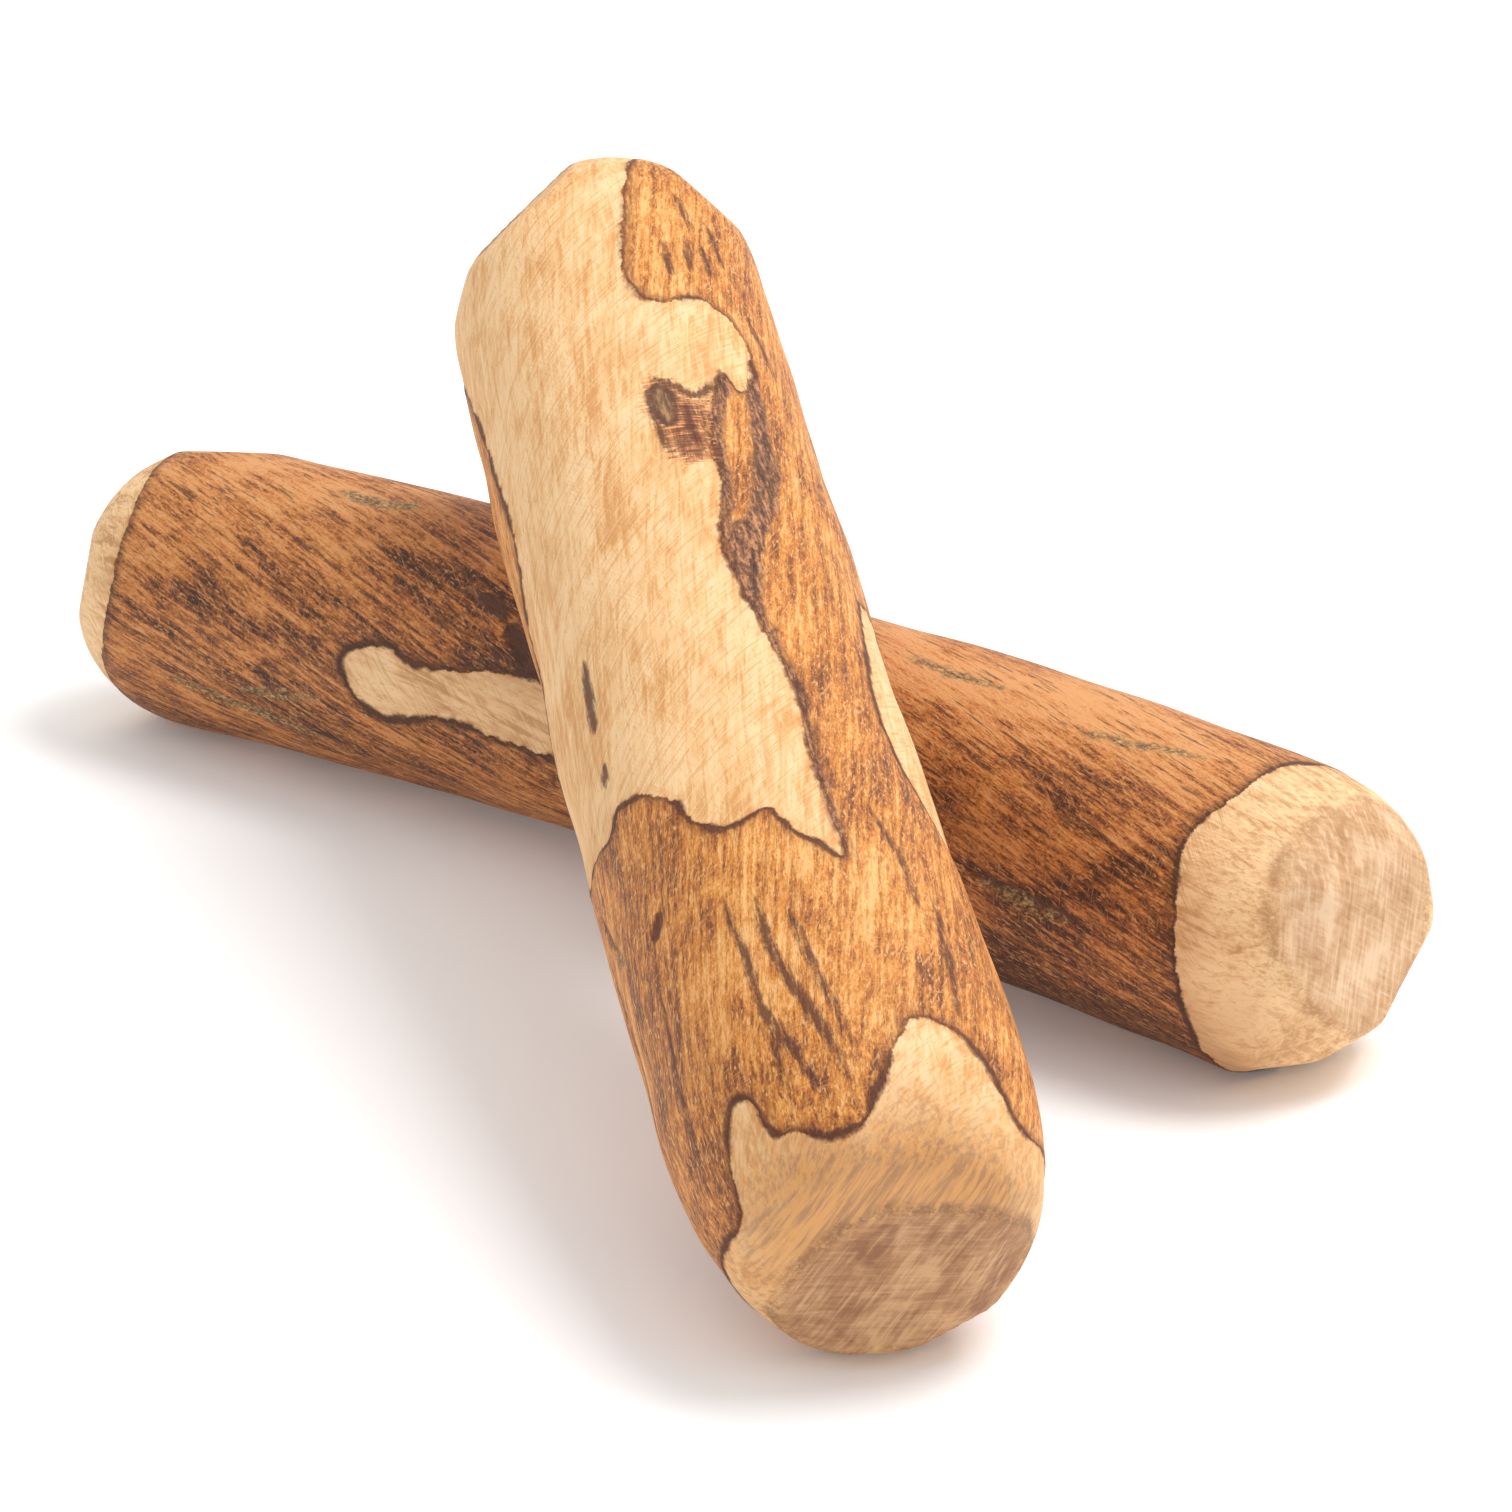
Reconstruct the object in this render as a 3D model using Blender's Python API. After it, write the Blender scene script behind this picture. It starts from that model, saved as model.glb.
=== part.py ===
"""A pair of hand-carved wooden claves at rest: one lies on the table and the other leans across it.

Each clave is one solid length of branch. It is a slightly bowed, slightly tapered round with domed
ends, and it is whittled with flat knife cuts round the ends. Both are planed a little where they
touch the table.
"""

import math
from dataclasses import dataclass

import bmesh
import bpy
from mathutils import Matrix, Vector

MM = 0.001

# How the upper clave leans across the lower one. Offset is in plan, from the middle of the lower
# clave to the middle of the upper one, and +X runs along the lower clave.
LOWER_HEIGHT = 19.3 * MM
UPPER_OFFSET = (36.3 * MM, -41.0 * MM)
UPPER_HEIGHT = 43.68 * MM
UPPER_HEADING = 142.1
UPPER_TILT = 16.97

TABLE = Vector((0, 0, 0))
DOWN = Vector((0, 0, -1))

# How finely a branch is faceted.
SIDES = 40
BODY_RINGS = 20
DOME_RINGS = 7

WOOD_ROUGHNESS = 0.55


@dataclass
class Swell:
    """A soft bump on the branch, or a hollow where its rise is negative."""

    along: float
    around: float
    rise: float
    length: float
    spread: float


@dataclass
class KnifeCut:
    """One flat cut. Slope is the angle between the cut's normal and the clave's axis, and reach is
    the distance from the centre of the end's dome to the cut."""

    around: float
    slope: float
    reach: float


@dataclass
class End:
    """A domed end. Face is the share of the radius that is left flat at the tip."""

    radius: float
    dome: float
    face: float
    cuts: list


@dataclass
class Clave:
    """Every angle is in degrees. Around is counted about the clave's +X axis from its upper side."""

    name: str
    length: float
    start: End
    end: End
    bow: float
    bow_around: float
    bow_centre: float
    bow_drop: float
    swells: list
    colour: tuple


LOWER = Clave(
    name="lower_clave",
    length=202.6 * MM,
    start=End(
        radius=19.1 * MM,
        dome=12.5 * MM,
        face=0.68,
        cuts=[
            KnifeCut(-16, 79, 18.9 * MM),
            KnifeCut(8, 60, 21.9 * MM),
            KnifeCut(75, 44, 23.0 * MM),
            KnifeCut(132, 68, 23.0 * MM),
            KnifeCut(-80, 55, 21.8 * MM),
            KnifeCut(-140, 50, 22.4 * MM),
        ],
    ),
    end=End(
        radius=19.1 * MM,
        dome=14 * MM,
        face=0.58,
        cuts=[
            KnifeCut(-45, 60, 22.2 * MM),
            KnifeCut(-72, 41, 22.1 * MM),
            KnifeCut(-137, 34, 20.9 * MM),
            KnifeCut(-176, 50, 20.6 * MM),
            KnifeCut(165, 70, 19.6 * MM),
            KnifeCut(20, 38, 21.7 * MM),
            KnifeCut(75, 35, 21.2 * MM),
            KnifeCut(125, 36, 21.0 * MM),
            KnifeCut(100, 68, 20.4 * MM),
            KnifeCut(40, 66, 21.0 * MM),
        ],
    ),
    bow=1.4 * MM,
    bow_around=-25,
    bow_centre=-6 * MM,
    bow_drop=3.4 * MM,
    swells=[
        Swell(-35 * MM, 150, -0.3 * MM, 20 * MM, 45),
        Swell(16 * MM, -25, -0.9 * MM, 18 * MM, 50),
    ],
    colour=(0.30, 0.12, 0.045, 1),
)

UPPER = Clave(
    name="upper_clave",
    length=194.6 * MM,
    start=End(
        radius=20.7 * MM,
        dome=27 * MM,
        face=0.62,
        cuts=[
            KnifeCut(-120, 76, 20.5 * MM),
            KnifeCut(-150, 56, 23.2 * MM),
            KnifeCut(148, 47, 23.5 * MM),
            KnifeCut(100, 36, 22.9 * MM),
            KnifeCut(0, 60, 22.4 * MM),
            KnifeCut(-60, 55, 22.8 * MM),
            KnifeCut(55, 64, 22.6 * MM),
        ],
    ),
    end=End(
        radius=19.9 * MM,
        dome=16.5 * MM,
        face=0.47,
        cuts=[
            KnifeCut(-49, 61, 18.7 * MM),
            KnifeCut(-77, 74, 19.7 * MM),
            KnifeCut(-10, 58, 21.9 * MM),
            KnifeCut(46, 73, 20.5 * MM),
            KnifeCut(110, 58, 21.0 * MM),
            KnifeCut(175, 52, 20.8 * MM),
            KnifeCut(-125, 50, 20.9 * MM),
        ],
    ),
    bow=1.0 * MM,
    bow_around=-104,
    bow_centre=-8 * MM,
    bow_drop=1.3 * MM,
    swells=[
        Swell(20 * MM, 71, 0.4 * MM, 6 * MM, 30),
        Swell(14 * MM, -104, -0.7 * MM, 11 * MM, 40),
    ],
    colour=(0.62, 0.36, 0.15, 1),
)


def clear_scene():
    for obj in list(bpy.data.objects):
        bpy.data.objects.remove(obj)


def around_axis(degrees):
    """Unit vector across the clave's own +X axis. 0 is its upper side, +Z."""
    angle = math.radians(degrees)
    return Vector((0, -math.sin(angle), math.cos(angle)))


def angle_apart(a, b):
    """Degrees between two directions round the axis, from -180 to 180."""
    return (a - b + 180) % 360 - 180


def dome_share(end, from_tip):
    """Share of the full radius at a distance from the tip of a domed end."""
    if from_tip >= end.dome:
        return 1
    into = min(1 - from_tip / end.dome, 1)
    return end.face + (1 - end.face) * math.sqrt(1 - into * into)


def branch_radius(clave, along, around):
    """Radius of the branch at a place along the axis and a direction round it."""
    half = clave.length / 2
    share = (along + half) / clave.length
    radius = clave.start.radius + (clave.end.radius - clave.start.radius) * share
    for swell in clave.swells:
        far = ((along - swell.along) / swell.length) ** 2
        wide = (angle_apart(around, swell.around) / swell.spread) ** 2
        radius += swell.rise * math.exp(-(far + wide))
    return radius * dome_share(clave.start, along + half) * dome_share(clave.end, half - along)


def bow_offset(clave, along):
    """How far the middle of the branch stands off the straight axis, sideways."""
    drop = clave.bow_drop * ((along - clave.bow_centre) / (clave.length / 2)) ** 2
    return around_axis(clave.bow_around) * (clave.bow - drop)


def ring_places(clave):
    """Places along the axis where the branch is ringed, closer together on the domes."""
    half = clave.length / 2
    places = []
    for ring in range(DOME_RINGS):
        into = math.sin(math.radians(90 * ring / DOME_RINGS))
        places.append(clave.start.dome * (1 - into) - half)
        places.append(half - clave.end.dome * (1 - into))
    body = clave.length - clave.start.dome - clave.end.dome
    for ring in range(1, BODY_RINGS):
        places.append(clave.start.dome - half + body * ring / BODY_RINGS)
    return places


def rough_branch(clave):
    """The closed branch along X, before it is whittled."""
    bm = bmesh.new()
    bmesh.ops.create_cone(
        bm,
        cap_ends=True,
        segments=SIDES,
        radius1=clave.start.radius,
        radius2=clave.start.radius,
        depth=clave.length,
        matrix=Matrix.Rotation(math.radians(90), 4, "Y"),
    )
    for along in ring_places(clave):
        everything = bm.verts[:] + bm.edges[:] + bm.faces[:]
        bmesh.ops.bisect_plane(bm, geom=everything, plane_co=(along, 0, 0), plane_no=(1, 0, 0))
    for vert in bm.verts:
        along = vert.co.x
        around = math.degrees(math.atan2(-vert.co.y, vert.co.z))
        radius = branch_radius(clave, along, around)
        vert.co = Vector((along, 0, 0)) + around_axis(around) * radius + bow_offset(clave, along)
    return bm


def cut(bm, point, normal):
    """Takes off everything beyond a plane and closes the cut with one flat face."""
    everything = bm.verts[:] + bm.edges[:] + bm.faces[:]
    done = bmesh.ops.bisect_plane(
        bm, geom=everything, plane_co=point, plane_no=normal, clear_outer=True
    )
    rim = [piece for piece in done["geom_cut"] if isinstance(piece, bmesh.types.BMEdge)]
    if rim:
        bmesh.ops.edgenet_fill(bm, edges=rim)


def whittle(bm, clave, end, side):
    """Cuts one end. Side is -1 at the start of the axis and +1 at its end."""
    along = side * (clave.length / 2 - end.radius)
    centre = Vector((along, 0, 0)) + bow_offset(clave, along)
    for knife in end.cuts:
        slope = math.radians(knife.slope)
        outward = Vector((side * math.cos(slope), 0, 0))
        outward += around_axis(knife.around) * math.sin(slope)
        cut(bm, centre + outward * knife.reach, outward)


def wood_material(name, colour):
    material = bpy.data.materials.new(name)
    material.use_nodes = True
    shader = material.node_tree.nodes["Principled BSDF"]
    shader.inputs["Base Color"].default_value = colour
    shader.inputs["Roughness"].default_value = WOOD_ROUGHNESS
    shader.inputs["Metallic"].default_value = 0
    return material


def make_clave(clave, placement, collection):
    """One clave as one solid. Placement carries it from its own axis to where it rests."""
    bm = rough_branch(clave)
    whittle(bm, clave, clave.start, -1)
    whittle(bm, clave, clave.end, 1)
    to_own_axis = placement.inverted()
    cut(bm, to_own_axis @ TABLE, to_own_axis.to_3x3() @ DOWN)
    bmesh.ops.recalc_face_normals(bm, faces=bm.faces[:])
    mesh = bpy.data.meshes.new(clave.name)
    bm.to_mesh(mesh)
    bm.free()
    mesh.materials.append(wood_material(clave.name + "_wood", clave.colour))
    obj = bpy.data.objects.new(clave.name, mesh)
    obj.matrix_world = placement
    collection.objects.link(obj)
    return obj


def upper_placement():
    heading = Matrix.Rotation(math.radians(UPPER_HEADING), 4, "Z")
    tilt = Matrix.Rotation(math.radians(-UPPER_TILT), 4, "Y")
    return Matrix.Translation((*UPPER_OFFSET, UPPER_HEIGHT)) @ heading @ tilt


def centre_in_plan(objects):
    """Moves the pair so that the middle of its bounding box, seen from above, is the origin."""
    corners = [obj.matrix_world @ vert.co for obj in objects for vert in obj.data.vertices]
    middle = Vector((0, 0, 0))
    for axis in (0, 1):
        spread = [corner[axis] for corner in corners]
        middle[axis] = (min(spread) + max(spread)) / 2
    for obj in objects:
        obj.matrix_world = Matrix.Translation(-middle) @ obj.matrix_world


def main():
    clear_scene()
    collection = bpy.data.collections.new("claves")
    bpy.context.scene.collection.children.link(collection)
    lower = make_clave(LOWER, Matrix.Translation((0, 0, LOWER_HEIGHT)), collection)
    upper = make_clave(UPPER, upper_placement(), collection)
    centre_in_plan([lower, upper])


main()
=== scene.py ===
import math
from dataclasses import dataclass, field

import bpy
import numpy as np
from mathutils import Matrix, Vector
from mathutils.bvhtree import BVHTree
from mathutils.kdtree import KDTree


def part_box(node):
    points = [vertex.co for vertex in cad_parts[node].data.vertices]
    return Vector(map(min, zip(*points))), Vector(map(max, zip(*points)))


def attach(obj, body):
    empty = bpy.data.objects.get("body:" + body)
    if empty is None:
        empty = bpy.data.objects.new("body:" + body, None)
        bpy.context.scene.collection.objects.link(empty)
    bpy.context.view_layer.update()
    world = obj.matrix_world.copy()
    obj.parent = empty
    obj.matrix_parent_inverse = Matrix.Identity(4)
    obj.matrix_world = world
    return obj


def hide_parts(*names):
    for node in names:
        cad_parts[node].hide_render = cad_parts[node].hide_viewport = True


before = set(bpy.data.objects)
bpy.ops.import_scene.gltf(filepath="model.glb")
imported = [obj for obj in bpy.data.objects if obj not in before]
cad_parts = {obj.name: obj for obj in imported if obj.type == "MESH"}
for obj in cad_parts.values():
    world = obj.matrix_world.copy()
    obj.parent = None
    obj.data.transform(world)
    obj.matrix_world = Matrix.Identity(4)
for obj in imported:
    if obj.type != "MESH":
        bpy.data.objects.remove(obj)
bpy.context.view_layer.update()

# Lengths on a clave are in millimetres. Along is counted from its middle over the surface, so it
# carries on round the dome to the tip. Around is in degrees about its axis from the upper side.
MM = 0.001

# The grid of each surface: the radius of its domed ends, the distance between its stations, and
# how many segments it has around.
DOME = 19.5
STEP = 0.55
SEGMENTS = 230

# How many times the body and the ends are sanded. The change between them runs from CRISP_FROM to
# CRISP_TO past the start of the dome. INSET sets the skin back a little, to leave room for relief.
BODY_SANDING = 14
END_SANDING = 4
CRISP_FROM = -6.0
CRISP_TO = 4.0
INSET = 0.12

# The distance between samples of an outline or a stroke, how far beyond the tips an end region
# closes, the distance given to a layer that has no regions, and the least that is divided by.
CURVE_STEP = 0.3
BEYOND_TIP = 30.0
FAR_OUTSIDE = -20.0
TINY = 1e-9


# ---------------------------------------------------------------------------------------------
# What is where on each clave. Places are (along, around)
# ---------------------------------------------------------------------------------------------


@dataclass
class Stroke:
    """A drawn-out mark: its places, and its half width in the middle."""

    places: list
    half_width: float


@dataclass
class Spot:
    """A soft-edged oval: its middle, half length, half width in degrees, and strength."""

    along: float
    around: float
    length: float
    spread: float
    strength: float


@dataclass
class Palette:
    """Colours of one clave's bark, boundary lines, sapwood, end faces and the rims of its faces. Then
    how strong its cracks are, how far its scratches turn about the axis in radians per millimetre,
    and the angles in degrees of the lines across its end faces and chamfers."""

    bark_dark: tuple
    bark_mid: tuple
    bark_light: tuple
    bark_glow: tuple
    line: tuple
    pale_light: tuple
    pale_mid: tuple
    pale_dark: tuple
    face_dark: tuple
    face_mid: tuple
    face_light: tuple
    rim: tuple
    cracks: float
    twist: float
    face_lines: float
    chamfer_lines: float


@dataclass
class Pattern:
    """Pale ends are outlines that run once round the axis, and everything from there over the tip is
    pale. Faces are the flat cuts across the tips, in the same way. Pale patches, dark bands, stains
    and eyes are closed outlines. Marks, lichens and pits are strokes. Tones are light and dark
    spots of the wood's own tone. On the lower clave they also hold painted light along the top of its
    right half and painted shade low on the front of that half. Faint lines are spots where the line
    round the bark is weak."""

    pale_ends: list
    pale_patches: list
    faces: list
    marks: list
    lichens: list
    tones_and_painted_light: list
    faint_lines: list
    pits: list
    dark_bands: list = field(default_factory=list)
    stains: list = field(default_factory=list)
    eyes: list = field(default_factory=list)


UPPER_PATTERN = Pattern(
    pale_ends=[
        [
            (86, -180), (84, -150), (80, -118), (70, -96), (61, -87), (50, -84), (36, -79), (27, -81),
            (20, -89), (10, -96), (-2, -103), (-14, -109), (-24, -107), (-29, -97), (-30, -86),
            (-31, -77), (-32, -69), (-30, -62), (-31, -55), (-32, -50), (-35, -43), (-38, -38),
            (-41, -36), (-43, -32), (-45, -27), (-45, -20), (-44, -12), (-46, -9), (-49, -5), (-51, 0),
            (-54, 7), (-51, 8), (-46, 7), (-36, 7), (-30, 8), (-24, 9), (-17, 6), (-10, 3), (-3, 1),
            (4, -1), (10, 1), (16, 5), (22, 6), (28, 8), (34, 11), (38, 15), (41, 20), (39, 22),
            (38, 25), (42, 32), (48, 34), (53, 31), (56, 22), (56, 14), (55, 5), (56, -2), (61, -6),
            (68, -4), (76, 1), (84, 6), (90, 14), (94, 28), (95, 50), (93, 78), (91, 105), (89, 135),
            (87, 160),
        ],
        [
            (-92, -180), (-91, -150), (-90, -120), (-91, -100), (-93, -82), (-92, -70), (-88, -62),
            (-85, -56), (-84, -50), (-86, -45), (-90, -43), (-91, -35), (-93, -26), (-93, -15),
            (-92, -7), (-88, 1), (-84, 7), (-81, 14), (-81, 22), (-82, 30), (-85, 38), (-89, 50),
            (-89, 63), (-87, 78), (-86, 96), (-88, 122), (-91, 152),
        ],
    ],
    pale_patches=[
        [
            (4, 58), (-4, 51), (-11, 46), (-16, 43), (-23, 42), (-31, 44), (-35, 49), (-40, 58),
            (-44, 74), (-38, 92), (-22, 100), (-6, 92), (4, 76),
        ],
        [
            (-8, 170), (-14, 185), (-10, 200), (4, 212), (14, 206), (24, 216), (40, 210), (48, 194),
            (42, 178), (30, 168), (20, 173), (8, 164),
        ],
    ],
    faces=[
        [
            (-97, -180), (-95, -150), (-97, -115), (-100, -88), (-102, -55), (-102, -20),
            (-102, 20), (-100, 50), (-96, 78), (-92, 105), (-94, 135), (-96, 160),
        ],
        [
            (98, -180), (96, -130), (94, -85), (97, -40), (95, 0), (97, 40), (99, 80), (96, 130),
        ],
    ],
    dark_bands=[
        [
            (42, 30), (41, 34), (34, 33), (28, 31.5), (22, 31), (17, 27), (13, 24), (8, 18), (4, 14),
            (-6, 7.5), (-16, 8.5), (-24, 11), (-36, 9), (-49, 10), (-54, 8), (-44, 6.5), (-32, 7.5),
            (-24, 8.5), (-12, 3.5), (2, 0), (9, 2.5), (10, 9), (15, 14), (20, 17.5), (28, 22),
            (34, 25), (38, 26),
        ],
        [
            (41, 17), (42, 20), (38, 21), (30, 13.5), (22, 10.5), (14, 8.5), (8, 3.5), (8, 0.5),
            (16, 5), (23, 7), (30, 9), (36, 13),
        ],
    ],
    stains=[
        [
            (37, 13), (34.5, 8), (35, 3), (37.5, 0), (39.5, -4), (39.5, -8), (37, -11.5), (33.5, -12),
            (30, -10.5), (26, -9.5), (23, -8), (21.5, -2), (22, 3), (22.5, 6.5), (28, 8), (34, 11),
        ],
    ],
    eyes=[
        [(37.5, -6), (36.5, -9), (33.5, -9.5), (30.5, -7.5), (29.5, -5), (32, -3.2), (35.5, -3)],
    ],
    marks=[
        Stroke([(-3, -59), (-7, -60.5), (-10, -61.5), (-15.5, -63)], 0.75),
        Stroke([(-21, -62.3), (-23, -63.4), (-25, -64.3)], 0.6),
        Stroke([(39.5, -7), (37.5, 0), (35.5, 5), (36.5, 10), (39, 15)], 0.6),
        Stroke([(34, 2), (29, 1), (24, 2.5)], 0.5),
        Stroke([(33, -10.5), (27, -9.5), (23, -8)], 0.4),
        Stroke([(-58, -24), (-67, -23), (-74, -19.5), (-80, -15.5), (-88, -11)], 0.55),
        Stroke([(-62, -14.5), (-68, -13), (-75, -11), (-84, -7.5)], 0.4),
        Stroke([(-56, -33.5), (-66, -31.5), (-76, -31), (-82, -31), (-87, -34)], 0.4),
        Stroke([(-74, -31), (-79, -28), (-84, -24.5), (-88, -22)], 0.45),
        Stroke([(-62, -66), (-70, -68.5), (-78, -71), (-84, -75)], 0.3),
        Stroke([(-50, -55), (-52, -59), (-54, -62)], 0.8),
        Stroke([(-36, -93), (-43, -87), (-49, -81)], 0.35),
        Stroke([(-42, -97), (-53, -95), (-64, -96), (-75, -99)], 0.35),
        Stroke([(-44, 21), (-52, 27), (-61, 27)], 0.35),
        Stroke([(-58, 35), (-69, 33), (-79, 30)], 0.35),
        Stroke([(69, 12), (65, 11.5), (61, 11)], 0.4),
        Stroke([(71, 23), (67, 20.5), (63, 19)], 0.4),
        Stroke([(70, 28), (66, 28), (63, 27)], 0.4),
        Stroke([(75, 33), (72, 34), (67, 35)], 0.4),
        Stroke([(80, 22), (77, 24), (73, 25)], 0.35),
        Stroke([(58, 40), (52, 43), (45, 45)], 0.35),
        Stroke([(30, 120), (12, 124), (-14, 121)], 0.5),
        Stroke([(-20, 150), (-38, 155), (-60, 152)], 0.5),
        Stroke([(70, -140), (52, -136), (30, -139)], 0.5),
        Stroke([(-48, -140), (-60, -144), (-76, -142)], 0.5),
    ],
    lichens=[
        Stroke([(-45, -86), (-48, -83), (-50, -80)], 0.6),
    ],
    tones_and_painted_light=[
        Spot(-62, -25, 22, 22, 0.5),
        Spot(-55, -75, 34, 24, -0.7),
        Spot(-35, 25, 14, 16, -0.25),
        Spot(-110, -60, 18, 90, -1.1),
        Spot(-104, 50, 12, 60, -0.9),
        Spot(-100, 5, 8, 60, -0.5),
        Spot(-104, 140, 12, 60, -0.9),
        Spot(-96, -35, 4, 16, -0.5),
        Spot(46, -7, 4, 8, -0.35),
        Spot(41, 5, 3, 8, -0.3),
        Spot(35, 45, 45, 14, 0.25),
        Spot(70, 20, 16, 18, 0.2),
    ],
    faint_lines=[Spot(72, 0, 18, 30, 0.55), Spot(-84, 20, 8, 20, 0.3)],
    pits=[
        Stroke([(-36, -93), (-43, -87), (-49, -81)], 0.5),
        Stroke([(-42, -97), (-53, -95), (-64, -96)], 0.5),
        Stroke([(-50, -55), (-54, -62)], 1.0),
    ],
)

LOWER_PATTERN = Pattern(
    pale_ends=[
        [
            (-96, -180), (-94, -150), (-92, -115), (-94, -80), (-96, -45), (-97, -20), (-96, 3),
            (-94, 23), (-92.5, 38), (-91, 52), (-90.5, 68), (-90, 78), (-91, 98), (-93, 120),
            (-93.5, 140), (-94, 160),
        ],
        [
            (89, -180), (88, -145), (86, -110), (88, -70), (89.5, -35), (88, -9), (87, 8), (87, 21),
            (86, 33), (84.5, 42), (84, 50), (84, 57), (85, 68), (86, 80), (86.5, 95), (87, 112),
            (87, 134), (88.5, 158),
        ],
    ],
    pale_patches=[
        [
            (-48.5, 82), (-48, 77), (-46, 73.5), (-42.5, 70.5), (-40, 71), (-37, 74), (-33, 73),
            (-28, 70.5), (-22, 66.5), (-14, 65), (-4, 63), (6, 66), (12, 76), (8, 88), (-2, 94),
            (-12, 93), (-20, 93.5), (-29, 91.5), (-33, 92.5), (-38, 97), (-42, 99), (-45, 95.5),
            (-47.5, 89),
        ],
        [
            (20, 225), (13, 238), (18, 254), (32, 262), (40, 257), (54, 262), (65, 248), (59, 234),
            (44, 224), (32, 228),
        ],
    ],
    faces=[
        [
            (102, -180), (104.5, -147), (104, -111), (103.5, -79), (101, -45), (98, -24), (96.5, 8),
            (96.5, 28), (96, 44), (96, 58), (97, 74), (99, 92), (101, 113), (102, 140),
        ],
        [
            (-103, -180), (-104, -130), (-102, -80), (-103.5, -35), (-103, 10), (-104, 50),
            (-105, 90), (-104, 140),
        ],
    ],
    marks=[
        Stroke([(-30, 40), (-27, 42), (-24, 47)], 1.1),
        Stroke([(-24, 48), (-21, 53), (-18, 60), (-16, 63)], 1.5),
        Stroke([(55, 85.5), (61, 87), (67, 88.5), (73, 92)], 0.55),
        Stroke([(20, 150), (34, 154), (46, 150)], 0.9),
        Stroke([(-40, 200), (-28, 204), (-12, 201)], 1.0),
        Stroke([(60, -60), (48, -56), (34, -60)], 0.9),
    ],
    lichens=[
        Stroke([(-64, 9), (-56, 11), (-49, 7)], 1.3),
        Stroke([(-68, 107), (-60, 104), (-52, 100)], 0.6),
        Stroke([(-82, 112), (-75, 114), (-66, 117), (-55, 121)], 1.0),
        Stroke([(32, 10), (40, 12), (49, 12)], 0.9),
        Stroke([(61, 21), (70, 18), (79, 13)], 0.8),
        Stroke([(56, 87.5), (63, 90), (70, 92.5)], 0.9),
        Stroke([(-20, -110), (-8, -106), (6, -111)], 1.0),
        Stroke([(70, -150), (56, -146), (44, -151)], 0.9),
    ],
    tones_and_painted_light=[
        Spot(-80, 20, 30, 40, 0.9),
        Spot(-44, 34, 4, 4, -1.3),
        Spot(-36, 37, 9, 5, -0.5),
        Spot(-90, 12, 5, 5, -1.6),
        Spot(-78, 77, 18, 7, -0.8),
        Spot(-58, 77, 9, 6, -0.7),
        Spot(-52, 62, 9, 8, -0.4),
        Spot(77, 69, 5, 5, -0.5),
        Spot(-60, 110, 30, 35, -0.35),
        Spot(-20, 50, 14, 30, -0.7),
        # Painted light: the top of the right half is lightened, as if lit from above.
        Spot(45, 5, 40, 30, 1.5),
        Spot(30, 90, 34, 40, -0.4),
        Spot(70, 105, 24, 45, -0.4),
        # Painted shade: the low front of the right half is darkened, as if in shade.
        Spot(60, 130, 40, 30, -0.9),
        Spot(0, -150, 70, 50, 0.3),
    ],
    faint_lines=[Spot(-94, 0, 6, 500, 1.0)],
    pits=[
        Stroke([(55, 86), (63, 89), (72, 92)], 0.7),
        Stroke([(-24, 48), (-21, 53), (-18, 60)], 1.4),
        Stroke([(-82, 112), (-66, 117)], 0.8),
    ],
)


def paint(red, green, blue):
    """A colour as a person reads it off a screen, turned into the linear one that shaders take."""

    def linear(value):
        share = value / 255
        return share / 12.92 if share <= 0.04045 else ((share + 0.055) / 1.055) ** 2.4

    return (linear(red), linear(green), linear(blue), 1.0)


UPPER_PALETTE = Palette(
    bark_dark=paint(118, 66, 34),
    bark_mid=paint(180, 108, 50),
    bark_light=paint(238, 180, 114),
    bark_glow=paint(210, 136, 58),
    line=paint(86, 44, 32),
    pale_light=paint(241, 202, 153),
    pale_mid=paint(233, 186, 130),
    pale_dark=paint(212, 152, 92),
    face_dark=paint(142, 98, 70),
    face_mid=paint(172, 126, 90),
    face_light=paint(204, 160, 118),
    rim=paint(120, 82, 58),
    cracks=0.3,
    twist=0.03,
    face_lines=-60.0,
    chamfer_lines=-60.0,
)

LOWER_PALETTE = Palette(
    bark_dark=paint(72, 43, 29),
    bark_mid=paint(136, 80, 44),
    bark_light=paint(214, 152, 96),
    bark_glow=paint(190, 118, 58),
    line=paint(80, 50, 36),
    pale_light=paint(240, 202, 154),
    pale_mid=paint(230, 186, 136),
    pale_dark=paint(192, 144, 96),
    face_dark=paint(182, 136, 94),
    face_mid=paint(208, 166, 126),
    face_light=paint(228, 194, 158),
    rim=paint(160, 110, 70),
    cracks=0.7,
    twist=0.042,
    face_lines=80.0,
    chamfer_lines=-30.0,
)


# ---------------------------------------------------------------------------------------------
# The clave's surface, taken from the CAD solid
# ---------------------------------------------------------------------------------------------


def smoothstep(value, low, high):
    share = np.clip((value - low) / (high - low), 0, 1)
    return share * share * (3 - 2 * share)


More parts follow.
